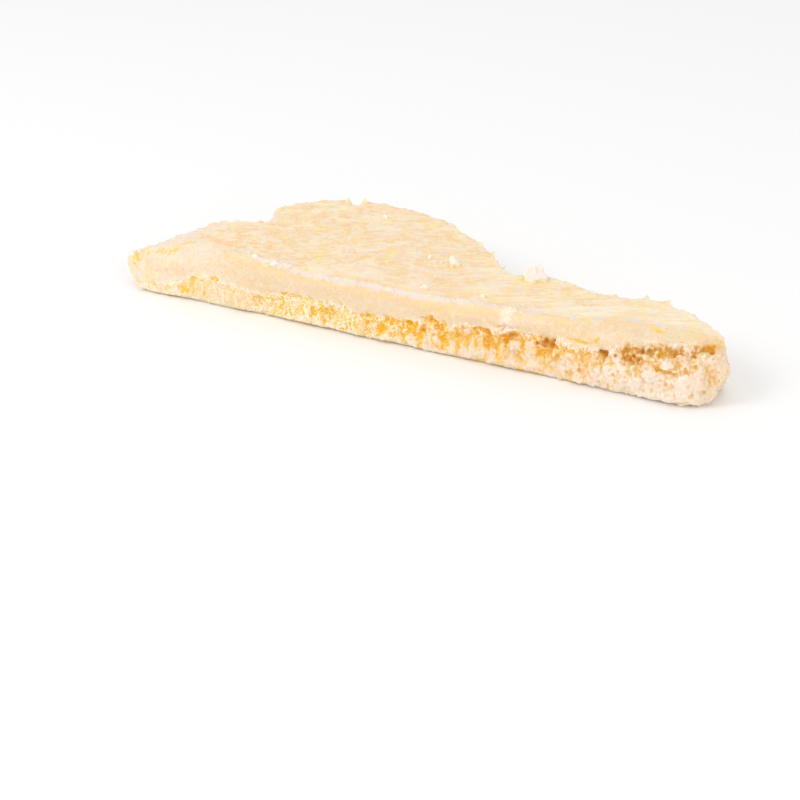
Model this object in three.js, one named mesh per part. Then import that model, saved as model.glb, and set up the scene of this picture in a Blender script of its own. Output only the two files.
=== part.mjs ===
// A slab of milk skin, the thick cream sheet that sets on slowly simmered milk.
// One long side is a clean cut. The other sides are the sheet's own rim and torn ends.
// Dense cream lies under the wrinkled skin on top, and craggy foam below it.
// Millimetres, +Z up. The slab rests on its flat underside, with the cut along X, facing -Y.
import * as THREE from 'three';
import { ImprovedNoise } from 'three/addons/math/ImprovedNoise.js';
import { mergeVertices } from 'three/addons/utils/BufferGeometryUtils.js';

// Main sizes
const LEFT_TIP = -112.2;
const RIGHT_END = 97.5;
const THICKNESS = 20;

// Plan of the back: a shoulder at the left, a leaning lobe of the sheet's rim, and a ribbon to the right
const SHOULDER = { end: -70, tip: 7, top: 30, bend: 0.85 };
const LOBE = { x: -21.5, y: 3.9, radius: 54, lean: -0.355, start: -70.6 };
const NOTCH = { overhang: 2.8, low: 32, high: 42, reach: 20, ramp: 0.9 };
const RIBBON_DEPTH = 28;
const RIBBON_BULGES = [
  { x: 33, width: 11, depth: 4 },
  { x: 69, width: 9, depth: 2.8 },
];
const RIGHT_CORNER = { start: 72, depth: 22 };
const RIM_WANDER = { depth: 0.7, length: 7 };
const BLEND = 1.6;

// Plan of the front cut: straight, turning in a little at both ends
const CUT = { leftTurn: -103, leftIn: 2.5, rightTurn: 84, rightIn: 5 };
const CUT_WANDER = { depth: 0.7, length: 17 };

// How the top comes down: a long droop to the left tip, a slight sag to the right
const DROOP = { start: -74, fall: 9, bend: 1.4 };
const SAG = { start: 50, fall: 1.2 };
const SWELL = { height: 0.45, length: 24 };
const LIP = { rise: 0.9, start: -80, end: -38, fade: 12, width: 5 };
const LIP_GROOVE = { depth: 0.5, away: 1.8 };

// Edge rounding
const CREST_CRISP = 1.6;
const CREST_LEFT = { soft: 6, start: -64, end: -98 };
const CREST_RIGHT = { soft: 9.5, start: 24, end: 78 };
const RIM_ROUND = 1.6;
const END_ROUND = { left: 1.6, right: 8.5 };
const END_LEAN = { left: 8.5, right: 4.5, reach: 28 };
const FOOT_ROUND = 1.8;

// The foam in the lower part of every side, as shares of the thickness
const FOAM = { leftShare: 0.38, rightShare: 0.76, left: -75, right: 80 };
const FOAM_TIP = { share: 0.2, start: -78, end: -100 };
const FOAM_STRAY = { share: 0.2, length: 13 };
const FOAM_LIMIT = { below: 0.1, above: 0.06 };
const LUMPS = [
  { size: 6.2, height: 2.6 },
  { size: 3.4, height: 1.1 },
];
const LUMP_LEVEL = 0.62;

// Caves under the dense layer, deepest to the right, and faint ripples in that layer
const CAVE = { depth: 2.4, height: 2.6, leftShare: 0.25, left: -70, right: 40 };
const POCKET = { level: 0.5, contrast: 1.6, length: 8 };
const RIPPLE = { height: 0.35, length: 9, lengthUp: 4 };

// Grid of the surface
const COLUMNS = 100;
const ROWS_DEEP = 13;
const ROWS_HIGH = 10;
const GATHER = { share: 0.72, reach: 7 };
const SLOPE_STEP = 1.5;

// Places in the noise field, so that each use of it looks different
const CUT_FIELD = [3.1, 0.4];
const RIM_FIELD = [8.7, 2.2];
const SWELL_FIELD = 5.5;
const STRAY_FIELD = 1.7;
const POCKET_FIELD = 6.3;

const { lerp, smoothstep, clamp } = THREE.MathUtils;
const perlin = new ImprovedNoise();

// A bell of height 1 at offset 0 that falls away within about one unit.
function bell(offset) {
  return Math.exp(-(offset ** 2));
}

// A repeatable draw from 0 to 1 for one cell of a lattice.
function cellDraw(i, j, k, salt) {
  const wave = Math.sin(i * 127.1 + j * 311.7 + k * 74.7 + salt * 53.3) * 43758.5453;
  return wave - Math.floor(wave);
}

// Rounded lumps of a given size: 1 at a lump's middle, falling to 0 in the creases between lumps.
function lumps(p, size) {
  const cell = [p.x / size, p.y / size, p.z / size];
  const base = cell.map(Math.floor);
  let nearest = Infinity;
  for (let n = 0; n < 27; n += 1) {
    const i = base[0] + (n % 3) - 1;
    const j = base[1] + (Math.floor(n / 3) % 3) - 1;
    const k = base[2] + Math.floor(n / 9) - 1;
    const dx = i + cellDraw(i, j, k, 1) - cell[0];
    const dy = j + cellDraw(i, j, k, 2) - cell[1];
    const dz = k + cellDraw(i, j, k, 3) - cell[2];
    nearest = Math.min(nearest, dx * dx + dy * dy + dz * dz);
  }
  return Math.max(0, 1 - nearest);
}

// The larger of two values, with the corner between them rounded off.
function softMax(a, b) {
  const h = Math.max(BLEND - Math.abs(a - b), 0) / BLEND;
  return Math.max(a, b) + (h * h * BLEND) / 4;
}

// Front cut line in plan.
function frontEdge(x) {
  const left = smoothstep(-x, -CUT.leftTurn, -LEFT_TIP);
  const right = smoothstep(x, CUT.rightTurn, RIGHT_END);
  const wander = CUT_WANDER.depth * perlin.noise(x / CUT_WANDER.length, ...CUT_FIELD);
  return CUT.leftIn * left + CUT.rightIn * right + wander;
}

// Back of the shoulder in plan, rising from the left tip.
function shoulderEdge(x) {
  const along = clamp((x - LEFT_TIP) / (SHOULDER.end - LEFT_TIP), 0, 1);
  return lerp(SHOULDER.tip, SHOULDER.top, Math.sin((along * Math.PI) / 2) ** SHOULDER.bend);
}

// Rim of the lobe in plan: an arc that leans to the left.
function lobeEdge(x) {
  const off = x - LOBE.x;
  const half = LOBE.radius ** 2 - off ** 2;
  return half > 0 ? LOBE.y + Math.sqrt(half) + LOBE.lean * off : 0;
}

// Back of the ribbon in plan, with its bulges and its round corner at the right end.
function ribbonEdge(x) {
  const toCorner = clamp((x - RIGHT_CORNER.start) / (RIGHT_END - RIGHT_CORNER.start), 0, 1);
  const corner = RIGHT_CORNER.depth * (1 - Math.sqrt(1 - toCorner ** 2));
  const bulges = RIBBON_BULGES.map((bulge) => bulge.depth * bell((x - bulge.x) / bulge.width));
  return bulges.reduce((sum, depth) => sum + depth, RIBBON_DEPTH - corner);
}

// Back outline in plan: whichever of shoulder, lobe and ribbon reaches furthest.
function backEdge(x) {
  const shoulder = shoulderEdge(x);
  const beyond = softMax(lobeEdge(x), x < LOBE.x ? shoulder : ribbonEdge(x));
  const pastNotch = smoothstep(x, LOBE.start - NOTCH.ramp, LOBE.start + NOTCH.ramp);
  const wander = RIM_WANDER.depth * perlin.noise(x / RIM_WANDER.length, ...RIM_FIELD);
  return lerp(shoulder, beyond, pastNotch) + wander;
}

// How far the lobe's rim leans left over the notch beside the shoulder.
function notchOverhang(x, y) {
  const near = 1 - smoothstep(x, LOBE.start, LOBE.start + NOTCH.reach);
  return NOTCH.overhang * near * smoothstep(y, NOTCH.low, NOTCH.high);
}

// Height of the skin above the underside.
function topHeight(x, y) {
  const droop = DROOP.fall * smoothstep(-x, -DROOP.start, -LEFT_TIP) ** DROOP.bend;
  const sag = SAG.fall * smoothstep(x, SAG.start, RIGHT_END);
  const swell = SWELL.height * perlin.noise(x / SWELL.length, y / SWELL.length, SWELL_FIELD);
  const rising = smoothstep(x, LIP.start, LIP.start + LIP.fade);
  const falling = smoothstep(x, LIP.end - LIP.fade, LIP.end);
  const fromEdge = (y - frontEdge(x)) / LIP.width;
  const lip = LIP.rise * bell(fromEdge) - LIP_GROOVE.depth * bell(fromEdge - LIP_GROOVE.away);
  return THICKNESS - droop - sag + swell + rising * (1 - falling) * lip;
}

// Rounding of the crest between skin and front cut: crisp along the middle, soft at both ends.
function crestRound(x) {
  const left = CREST_LEFT.soft * smoothstep(-x, -CREST_LEFT.start, -CREST_LEFT.end);
  const right = CREST_RIGHT.soft * smoothstep(x, CREST_RIGHT.start, CREST_RIGHT.end);
  return CREST_CRISP + left + right;
}

// How far a quarter-round edge of the given radius steps in, at a depth below (or above) that edge.
function quarterInset(radius, depth) {
  const rise = clamp(radius - depth, 0, radius);
  return radius - Math.sqrt(radius * radius - rise * rise);
}

// Share of the thickness that is foam, rising from the left to the right.
function foamShare(x, y) {
  const even = lerp(FOAM.leftShare, FOAM.rightShare, smoothstep(x, FOAM.left, FOAM.right));
  const tip = smoothstep(-x, -FOAM_TIP.start, -FOAM_TIP.end);
  const stray = FOAM_STRAY.share * perlin.noise(x / FOAM_STRAY.length, y / FOAM_STRAY.length, STRAY_FIELD);
  return lerp(even, FOAM_TIP.share, tip) + stray;
}

// Relief of a side: lumps and creases in the foam, a cave under the dense layer, faint ripples above.
function sideRelief(p, height) {
  const share = p.z / height;
  const limit = foamShare(p.x, p.y);
  const inFoam = 1 - smoothstep(share, limit - FOAM_LIMIT.below, limit + FOAM_LIMIT.above);
  const lumpy = LUMPS.reduce((sum, lump) => sum + lump.height * (lumps(p, lump.size) - LUMP_LEVEL), 0);
  const strength = lerp(CAVE.leftShare, 1, smoothstep(p.x, CAVE.left, CAVE.right));
  const fromRoof = (p.z - (limit - FOAM_LIMIT.above) * height) / CAVE.height;
  const pocketNoise = perlin.noise(p.x / POCKET.length, p.y / POCKET.length, POCKET_FIELD);
  const pockets = clamp(POCKET.level + POCKET.contrast * pocketNoise, 0, 1);
  const cave = CAVE.depth * strength * pockets * bell(fromRoof);
  const ripple = perlin.noise(p.x / RIPPLE.length, p.y / RIPPLE.length, p.z / RIPPLE.lengthUp);
  return inFoam * lumpy - cave + (1 - inFoam) * RIPPLE.height * ripple;
}

// Outward direction of the side in plan, for a point at share u of the length and share v of the depth.
function outward(u, v, x) {
  const frontSlope = (frontEdge(x + SLOPE_STEP) - frontEdge(x - SLOPE_STEP)) / (2 * SLOPE_STEP);
  const backSlope = (backEdge(x + SLOPE_STEP) - backEdge(x - SLOPE_STEP)) / (2 * SLOPE_STEP);
  const out = new THREE.Vector3((u === 1) - (u === 0), 0, 0);
  if (v === 0) {
    out.add(new THREE.Vector3(frontSlope, -1, 0).normalize());
  }
  if (v === 1) {
    out.add(new THREE.Vector3(-backSlope, 1, 0).normalize());
  }
  return out.normalize();
}

// Station along the length for share u, with the columns gathered where the notch is.
function station(u) {
  const even = lerp(LEFT_TIP, RIGHT_END, u);
  const off = even - LOBE.start;
  return even - GATHER.share * off * bell(off / GATHER.reach);
}

// Place of one grid point: u runs left to right, v front to back, w from the underside to the skin.
function place(u, v, w) {
  const rawX = station(u);
  const edgeHeight = topHeight(rawX, v * backEdge(rawX));
  const below = (1 - w) * edgeHeight;
  const foot = quarterInset(FOOT_ROUND, w * edgeHeight);
  const left = quarterInset(END_ROUND.left, below) + foot + END_LEAN.left * (1 - w) ** 2;
  const right = quarterInset(END_ROUND.right, below) + foot + END_LEAN.right * (1 - w) ** 2;
  const nearLeft = 1 - smoothstep(rawX, LEFT_TIP, LEFT_TIP + END_LEAN.reach);
  const nearRight = smoothstep(rawX, RIGHT_END - END_LEAN.reach, RIGHT_END);
  const x = rawX + left * nearLeft - right * nearRight;
  const front = frontEdge(x) + quarterInset(crestRound(x), below) + foot;
  const back = backEdge(x) - quarterInset(RIM_ROUND, below) - foot;
  const y = lerp(front, back, v);
  const height = topHeight(x, y);
  const point = new THREE.Vector3(x - notchOverhang(rawX, y), y, w * height);
  const onFlat = w === 0 || w === 1;
  return point.addScaledVector(outward(u, v, x), onFlat ? 0 : sideRelief(point, height));
}

// The slab's surface: a gridded box whose points are moved to their places.
function slabGeometry() {
  const box = new THREE.BoxGeometry(1, 1, 1, COLUMNS, ROWS_DEEP, ROWS_HIGH);
  box.deleteAttribute('normal');
  box.deleteAttribute('uv');
  const surface = mergeVertices(box);
  const points = surface.getAttribute('position');
  for (let i = 0; i < points.count; i += 1) {
    const shares = [points.getX(i), points.getY(i), points.getZ(i)].map((share) => share + 0.5);
    const moved = place(...shares);
    points.setXYZ(i, moved.x, moved.y, moved.z);
  }
  surface.computeBoundingBox();
  const middle = surface.boundingBox.getCenter(new THREE.Vector3());
  surface.translate(-middle.x, -middle.y, -surface.boundingBox.min.z);
  surface.computeVertexNormals();
  return surface;
}

const cream = new THREE.MeshStandardMaterial({ color: 0xf7e3c0, roughness: 0.62, metalness: 0 });
const slab = new THREE.Mesh(slabGeometry(), cream);
slab.name = 'milk_skin_slab';

const milkSkin = new THREE.Group();
milkSkin.add(slab);

export default milkSkin;
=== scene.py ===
"""Looks of a slab of milk skin: wrinkled skin, dense cream, torn foam, crumbs and shards of curd."""
import math

import bmesh
import bpy
import numpy as np
from mathutils import Matrix, Vector, noise
from mathutils.bvhtree import BVHTree


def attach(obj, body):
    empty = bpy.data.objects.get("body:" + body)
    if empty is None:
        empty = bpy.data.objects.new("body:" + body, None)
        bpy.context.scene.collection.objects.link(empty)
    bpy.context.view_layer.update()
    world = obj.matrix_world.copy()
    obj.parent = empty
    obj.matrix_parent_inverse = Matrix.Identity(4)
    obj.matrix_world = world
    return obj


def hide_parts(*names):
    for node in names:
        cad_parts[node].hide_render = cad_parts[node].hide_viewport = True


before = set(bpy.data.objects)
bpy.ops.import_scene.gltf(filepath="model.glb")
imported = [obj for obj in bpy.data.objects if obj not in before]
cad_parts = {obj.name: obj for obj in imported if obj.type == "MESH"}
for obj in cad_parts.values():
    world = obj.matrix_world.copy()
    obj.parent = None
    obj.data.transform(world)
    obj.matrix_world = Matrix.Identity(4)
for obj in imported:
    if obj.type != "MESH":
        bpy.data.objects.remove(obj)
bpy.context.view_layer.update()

BODY = "root"
SLAB_NODE = "milk_skin_slab"
MM = 0.001

# Camera, as the photograph was taken (degrees, metres, millimetres of lens and sensor)
VIEW_AZIMUTH = 25.1
VIEW_ELEVATION = 29.1
VIEW_DISTANCE = 0.7
VIEW_AIM = (0.0084, -0.0495, -0.0075)
LENS = 100.0
SENSOR_WIDTH = 36.0
NEAREST_SEEN = 0.01

# Floor: how far it reaches to each side (m), its colour and roughness
FLOOR_REACH = 4.0
FLOOR_COLOUR = (0.96, 0.96, 0.96)
FLOOR_ROUGHNESS = 0.8
# Softboxes: name, azimuth and elevation (degrees), distance and size (m), power (W)
SOFTBOXES = (
    ("key", -40, 42, 0.9, 0.4, 2.0),
    ("fill", 60, 26, 0.9, 0.7, 1.4),
    ("top", 170, 70, 0.9, 0.6, 0.4),
)
# Colour and strength of the light from all around
AROUND_COLOUR = (1, 1, 1)
AROUND_STRENGTH = 0.8

# Distance at which the solid's vertices are joined, fineness of the slab's mesh (mm), and its most triangles
JOINING_DISTANCE = 0.001
FIRST_GRAIN = 0.5
LAST_GRAIN = 0.34
SLAB_TRIANGLES = 194000
# Rounds of averaging with the neighbours: for slopes, for wide and tight hollows, and for the painted golden
# shade
SLOPE_ROUNDS = 4
MASK_SLOPE_ROUNDS = 6
WIDE_ROUNDS = 40
TIGHT_ROUNDS = 5
GOLD_SHADE_ROUNDS = 12

# How far one seed moves the noise, and the numbers that scramble a cell's centre into its draw
SEED_STEP = 17.31
CELL_MIX = (12.9898, 78.233, 37.719)
CELL_SPREAD = 43758.5453
DICE = np.random.default_rng(11)

# Stretches of the slab's length over which a look sets in: x where it starts, x where it is full (mm)
STRETCHES = {
    "full foam": (-62, -42),
    "combed foam": (10, 40),
    "fluffy foam": (55, 80),
    "rough tip": (-84, -97),
    "skin": (-84, -79),
    "fine lines": (-5, 40),
    "sunny skin": (0, 50),
    "far left": (-60, -90),
    "far right": (55, 85),
    "right rim": (84, 92),
    "right end": (86, 94),
    "many shards": (50, 70),
    "crest": (-68, -60),
    "left crest": (-35, -50),
    "wide crest": (20, 48),
    "fading crest": (84, 94),
    "bare tip": (-80, -92),
    "groove": (-84, -78),
    "wide groove": (-52, -62),
    "large tufts": (45, 80),
    "lip begins": (-70, -60),
    "lip ends": (-36, -50),
    "lit pale end": (-48, -75),
    "butter": (-66, -56),
    "raised butter": (20, 60),
    # The next four: where the painted golden shade is richer, and where the caves at the left end and at the
    # right end take more of it
    "rich gold begins": (-5, 25),
    "rich gold ends": (66, 58),
    "golden left": (-55, -65),
    "golden end": (93, 97),
    "slit begins": (54, 55),
    "slit ends": (67, 66),
    "strands": (-20, 10),
    "shaded caves": (5, 60),
    "shaded end": (96, 102),
    "warm": (-25, 30),
    # Painted shade that dulls the foam's hollows to tan towards the right end
    "right_end_shade": (36, 80),
}
# Levels over which a look sets in: z where it starts, z where it is full (mm)
LEVELS = {
    "flare": (1.0, 0.0),
    # The next two: painted golden shade along the lower edge, where it meets the floor
    "golden edge shade": (0.8, 0.1),
    "golden foot shade": (2.4, 0.4),
    "foot": (2.6, 0.4),
    "golden spots": (6, 8),
    "rim points": (8, 17),
    "chalk": (10, 14),
    "rim": (11, 15),
    "slit": (13.4, 14),
    "crest": (17, 18.2),
}

# Upper limit of the foam along the slab, and how far the foam is torn back under it: x, height, recess (mm)
FOAM_EDGE = (
    (-105, 2, 0.2), (-95, 3.5, 0.4), (-83, 7, 0.5), (-70, 12, 0.5), (-60, 10, 0.4), (-51, 8, 0.4),
    (-43, 10.3, 0.5), (-22, 11.0, 0.6), (-14, 8.7, 0.8), (0, 9.6, 0.9), (10, 13.6, 1.0), (15, 11, 1.0),
    (21, 13.2, 0.8), (28, 12, 1.2), (36, 15.2, 1.5), (48, 13.2, 1.5), (54, 14.5, 1.2), (64, 13.2, 1.0),
    (75, 16.4, 1.0), (85, 17.2, 1.0), (94, 17.7, 0.9), (100, 17.4, 0.8), (103.5, 14, 0.6), (105, 8, 0.5),
)
# Gap in the painted golden shade of the seam under that limit: x, half width (mm)
SEAM_SHADE_GAP = (23, 3.5)
# Share of painted golden shade above which it deepens more slowly
GOLD_SHADE_KNEE = 0.4
# Front border of the skin in plan, where the crest of crumbs runs: x, y (mm)
CREST_LINE = (
    (-84, -10), (-80, -19.5), (-70, -23), (-62, -24.5), (-51, -28.3), (-37, -29.3), (6, -29), (19, -27.8),
    (34, -26.5), (48, -24), (56, -23.2), (64, -20.6), (72, -17.5), (82, -15.8), (90, -15), (105, -14),
)
# Height of that border, and height at which the painted sheen on the dense cream of the cut is strongest
# (mm)
CREST_HEIGHT = 20.3
SHEEN_HEIGHT = 20.5
# Caves and slits torn into the front: x, z, half width, half height, depth (mm)
CAVES = (
    (-92, 3.9, 1.0, 0.7, 0.7), (-80, 4.2, 2.0, 1.0, 0.9), (-76, 8.8, 1.9, 0.8, 0.7),
    (-68.7, 10.6, 1.9, 0.8, 0.7), (-72.8, 3.8, 0.7, 2.0, 0.7), (-37, 10.3, 8.0, 0.7, 1.0),
    (-27.5, 7.3, 0.9, 2.2, 1.0), (-21.5, 10.8, 0.7, 1.2, 1.0), (-20.5, 1.9, 1.5, 1.5, 0.9),
    (-13, 8.4, 3.4, 1.0, 1.3), (0, 8.8, 8.0, 0.9, 1.4), (9.5, 12.4, 2.8, 1.8, 1.5),
    (14, 10.3, 2.5, 2.0, 1.5), (20, 9.8, 1.1, 2.4, 0.8), (28, 11.6, 3.5, 1.0, 1.8),
    (36.2, 11.5, 2.2, 2.2, 2.0), (35.2, 14.8, 2.2, 0.8, 1.4), (49.5, 11.9, 3.6, 1.4, 2.4),
    (67.8, 12.2, 1.6, 1.6, 1.8), (58.2, 15.5, 2.2, 0.45, 1.3), (62, 14.8, 2.2, 0.45, 1.3),
    (65.2, 16.1, 0.9, 0.7, 1.0), (83, 15.3, 1.0, 0.8, 1.2), (77.5, 14.2, 5.0, 2.6, 1.8),
    (88.5, 16.0, 6.5, 1.3, 1.8), (98.3, 16.9, 4.0, 1.0, 2.2), (88.5, 11.2, 5.0, 0.8, 1.3),
    (77, 12.4, 2.6, 1.6, 1.0), (30.5, 8.6, 3.5, 2.6, 1.2), (38.4, 6.6, 2.4, 2.4, 1.0),
    (21.5, 7.2, 3.0, 2.6, 0.6), (13.5, 7.6, 2.6, 2.2, 1.0), (4.5, 6.6, 3.5, 2.0, 0.9),
    (-8, 5.5, 3.0, 2.0, 0.8), (52, 8.2, 3.0, 2.0, 0.9),
)
# Small golden hollows on the upper side: x, y, half length, half width, depth (mm)
GOLD_SPOTS = (
    (61.3, -23.9, 1.0, 0.5, 0.3), (82.2, -19.1, 2.6, 1.0, 0.6), (-100.4, -26.3, 1.8, 2.4, 0.5),
    (-94.5, -24.4, 3.0, 1.4, 0.5), (-87.5, -25.2, 3.0, 1.8, 0.5), (-82, -22.5, 2.5, 1.4, 0.4),
)
# Directions of the skin's folds and of its fine lines in plan (degrees), and depth of its groove (mm)
FOLD_ANGLE = 22
LINE_ANGLE = 28
GROOVE_DEPTH = 0.45
# How far the lower edge stands out (mm)
FLARE = 0.7
# Corner of the lobe that stands out beside the notch: x, y, reach, how far out (mm)
NOTCH_CORNER = (-66.0, 8.6, 3.2, 2.2)
# Small bite out of the back rim and the two points beside it: x, y, reach, how far out (mm)
RIM_POINTS = ((-43.8, 26.5, 1.8, -3.6), (-45.8, 24.5, 0.9, 2.6), (-40.7, 26.5, 0.9, 2.2))

# Large crumbs that cling to the skin: x, y, half width, half height (mm)
LARGE_CRUMBS = (
    (7.4, -5.8, 1.6, 1.9), (-2.2, -3.7, 0.8, 0.6), (-29, 18.4, 1.0, 0.8), (5.6, -25.2, 1.2, 0.6),
    (24.9, -22.9, 0.9, 0.7), (3.4, -24.2, 0.7, 0.4), (-103.3, -24.8, 1.0, 0.9), (-100.8, -23.4, 0.7, 0.6),
    (-61, -24, 0.8, 0.6), (-57.5, -26, 0.7, 0.5), (-53.6, -28.2, 0.8, 0.6), (-46.2, -28.8, 0.9, 0.6),
    (3, -6, 0.5, 0.4), (34.5, -4.2, 3.0, 2.1), (37.5, -3.6, 1.6, 1.5),
)
# Half width of a crumb that is large enough to leave a yellow stain at its foot (mm)
STAINING_WIDTH = 1.4
# Tilt that brings a corner of a crumb to the top (degrees), and a height above every crumb (mm)
CORNER_TILT = 50
CLEAR_HEIGHT = 60
# Chalky white patch that runs from the crest down the cut, with small crumbs on it: x, y, spread (mm)
CHALKY_PATCH = (35.5, -27.2, 2.8)
# Small lumps on each ground: how many, least and greatest half size (mm)
FOAM_TUFTS = (4200, 0.22, 0.55)
END_TUFTS = (3800, 0.28, 0.68)
CREST_TUFTS = (190, 0.25, 0.6)
LIP_TUFTS = (75, 0.4, 0.85)
CHALK_CRUMBS = (26, 0.3, 0.75)
# Small shards of skin along the rim: how many, least length (mm), and the longest as a multiple of it
SMALL_SHARDS = (130, 0.45, 2.2)
# Tall shards of skin along the back rim and the right end: x, y, length (mm)
RIM_SHARDS = (
    (-17, 26.2, 1.4), (-3, 20.8, 1.6), (15.6, 7, 1.8), (23, 1.5, 1.8), (61.8, -4.4, 1.5), (72.1, -4, 1.6),
    (77.8, -1.8, 2.2), (88.7, -5.2, 1.8), (95, -12, 1.8), (103.5, -20, 1.8),
)
# Rounds of splitting that give each kind of lump its faces, and how many shapes there are of a kind
FINENESS = {"chunk": 4, "crumb": 2}
SHAPES_OF_A_KIND = 6

# Values kept on the mesh for the finish to follow
MASK_NAMES = (
    "skin", "foam", "crest", "groove", "pale", "butter", "gold", "low", "tight", "rim", "right_end_shade", "fringe",
    "chalk", "shade", "warm", "curd", "stain",
)
# Colours as linear red, green and blue, in the order in which they are laid on
SKIN_COLOURS = {
    # The hollow colour takes the random streaks and the painted shade in the skin's creases
    "hollow": (0.89, 0.63, 0.33),
    "ridge": (0.91, 0.75, 0.58),
    "blots": (0.98, 0.80, 0.58),
    "patches": (0.94, 0.79, 0.65),
    "dull spots": (0.86, 0.62, 0.40),
    "waves": (0.97, 0.84, 0.64),
    "tan lines": (0.91, 0.65, 0.33),
    "far right": (0.96, 0.84, 0.69),
    "stains": (0.98, 0.72, 0.27),
    "flecks": (0.96, 0.82, 0.71),
    # Painted shade in the groove behind the crest
    "groove": (0.91, 0.60, 0.32),
}
DENSE_COLOURS = {
    "hollow": (0.83, 0.61, 0.35),
    "ridge": (0.85, 0.71, 0.54),
    # Painted sheen on the top of the cut, and painted light on the left end
    "pale sheen top": (0.92, 0.78, 0.61),
    "whitish spots": (0.91, 0.78, 0.63),
    "butter": (0.96, 0.69, 0.32),
    # Painted golden shade where the cream is torn, in its caves and in the slit
    "gold": (0.97, 0.66, 0.16),
}
LOOSE_COLOURS = {
    "specks": (0.95, 0.86, 0.77),
    "shade": (0.84, 0.70, 0.50),
    "chalk": (0.95, 0.82, 0.71),
    # Painted shade along the skin's rim
    "rim": (0.82, 0.62, 0.47),
    "crumbs": (0.93, 0.84, 0.79),
    "frost": (0.79, 0.75, 0.75),
}
# Colours of the foam from its white curd to painted shade in its deepest hollows: at the left, in the
# middle, at the right; they darken from left to right, painted shade towards the right end
FOAM_AND_SHADE_COLOURS = {
    "white": ((0.95, 0.83, 0.71), (0.90, 0.74, 0.61), (0.91, 0.78, 0.65)),
    "cream": ((0.94, 0.75, 0.50), (0.90, 0.68, 0.43), (0.89, 0.69, 0.47)),
    "amber_shade": ((0.97, 0.69, 0.21), (0.93, 0.62, 0.22), (0.87, 0.60, 0.26)),
    "honey_shade": ((0.96, 0.54, 0.01), (0.91, 0.45, 0.002), (0.84, 0.46, 0.06)),
}
# Settings of the cream's shader that are the same all over
CREAM_SETTINGS = {
    "Subsurface Weight": 0.8,
    "Subsurface Radius": (1.0, 0.45, 0.1),
    "Subsurface Scale": 2.0 * MM,
    "IOR": 1.4,
    "Specular IOR Level": 0.3,
}
# Strength and height of the fine grain that is only shaded (height in mm)
BUMP_STRENGTH = 0.5
BUMP_HEIGHT = 0.2


# Noise and shares

def noise_places(points, size, seed):
    """Where points of the slab lie in the noise: grain size in mm, as one number or one for each axis."""
    return (points / np.asarray(size, float) + seed * SEED_STEP).tolist()


def soft_noise(points, size, seed):
    """Smooth noise, about -1 to 1."""
    return np.array([noise.noise(place) for place in noise_places(points, size, seed)])


def cells(points, size, seed):
    """Distance to the nearest of scattered points (0 to about 1), and a draw from 0 to 1 for each cell."""
    mix_x, mix_y, mix_z = CELL_MIX
    near = np.empty(len(points))
    draw = np.empty(len(points))
    for i, place in enumerate(noise_places(points, size, seed)):
        distances, centres = noise.voronoi(place)
        near[i] = distances[0]
        draw[i] = centres[0].x * mix_x + centres[0].y * mix_y + centres[0].z * mix_z
    draw = np.sin(draw) * CELL_SPREAD
    return near, draw - np.floor(draw)


def ramp(value, low, high):
    """Smooth step from 0 at low to 1 at high."""
    t = np.clip((value - low) / (high - low), 0, 1)
    return t * t * (3 - 2 * t)


def share_along(points, name):
    """Share of a named stretch of the slab's length."""
    return ramp(points[:, 0], *STRETCHES[name])


def share_up(points, name):
    """Share of a named level."""
    return ramp(points[:, 2], *LEVELS[name])


# Mesh tools

def mesh_arrays(mesh):
    """Vertex places in mm, and vertex normals."""
    arrays = []
    for name in ("co", "normal"):
        values = np.empty(len(mesh.vertices) * 3, np.float32)
        mesh.vertices.foreach_get(name, values)
        arrays.append(values.reshape(-1, 3).astype(float))
    places, normals = arrays
    return places / MM, normals


def set_places(mesh, points):
    """Moves the vertices to the given places in mm, and lifts to the floor those that lie under it."""
    lifted = np.maximum(points, (-np.inf, -np.inf, 0))
    mesh.vertices.foreach_set("co", (lifted * MM).astype(np.float32).ravel())
    mesh.update()


def linked(name, data):
    """A new object of the scene."""
    obj = bpy.data.objects.new(name, data)
    bpy.context.scene.collection.objects.link(obj)
    return obj


def evaluated(obj):
    """The object's mesh with its modifiers worked in, in place of the old mesh and modifiers."""
    depsgraph = bpy.context.evaluated_depsgraph_get()
    mesh = bpy.data.meshes.new_from_object(obj.evaluated_get(depsgraph), depsgraph=depsgraph)
    obj.modifiers.clear()
    obj.data = mesh
    return mesh


def remeshed(obj, grain):
    """Rebuilds the object's surface as an even grid of faces, grain mm across."""
    remesh = obj.modifiers.new("even grid", "REMESH")
    remesh.mode = "VOXEL"
    remesh.voxel_size = grain * MM
    remesh.use_smooth_shade = True
    return evaluated(obj)


def thinned(obj, triangles):
    """Joins small faces of the object until it has no more than the given number of triangles."""
    thin = obj.modifiers.new("thin out", "DECIMATE")
    thin.ratio = min(1.0, triangles / (2 * len(obj.data.polygons)))
    return evaluated(obj)


def one_part(mesh):
    """Keeps the largest connected part of the mesh: fusing the lumps can leave specks inside it."""
    shape = bmesh.new()
    shape.from_mesh(mesh)
    waiting = set(shape.verts)
    parts = []
    while waiting:
        part = [waiting.pop()]
        for vert in part:
            for edge in vert.link_edges:
                other = edge.other_vert(vert)
                if other in waiting:
                    waiting.discard(other)
                    part.append(other)
        parts.append(part)
    parts.sort(key=len)
    specks = [vert for part in parts[:-1] for vert in part]
    bmesh.ops.delete(shape, geom=specks, context="VERTS")
    shape.to_mesh(mesh)
    shape.free()


def surface_tree(mesh):
    """A search tree of the mesh's faces, in mm."""
    points, _ = mesh_arrays(mesh)
    return BVHTree.FromPolygons(points.tolist(), [tuple(face.vertices) for face in mesh.polygons])


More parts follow.
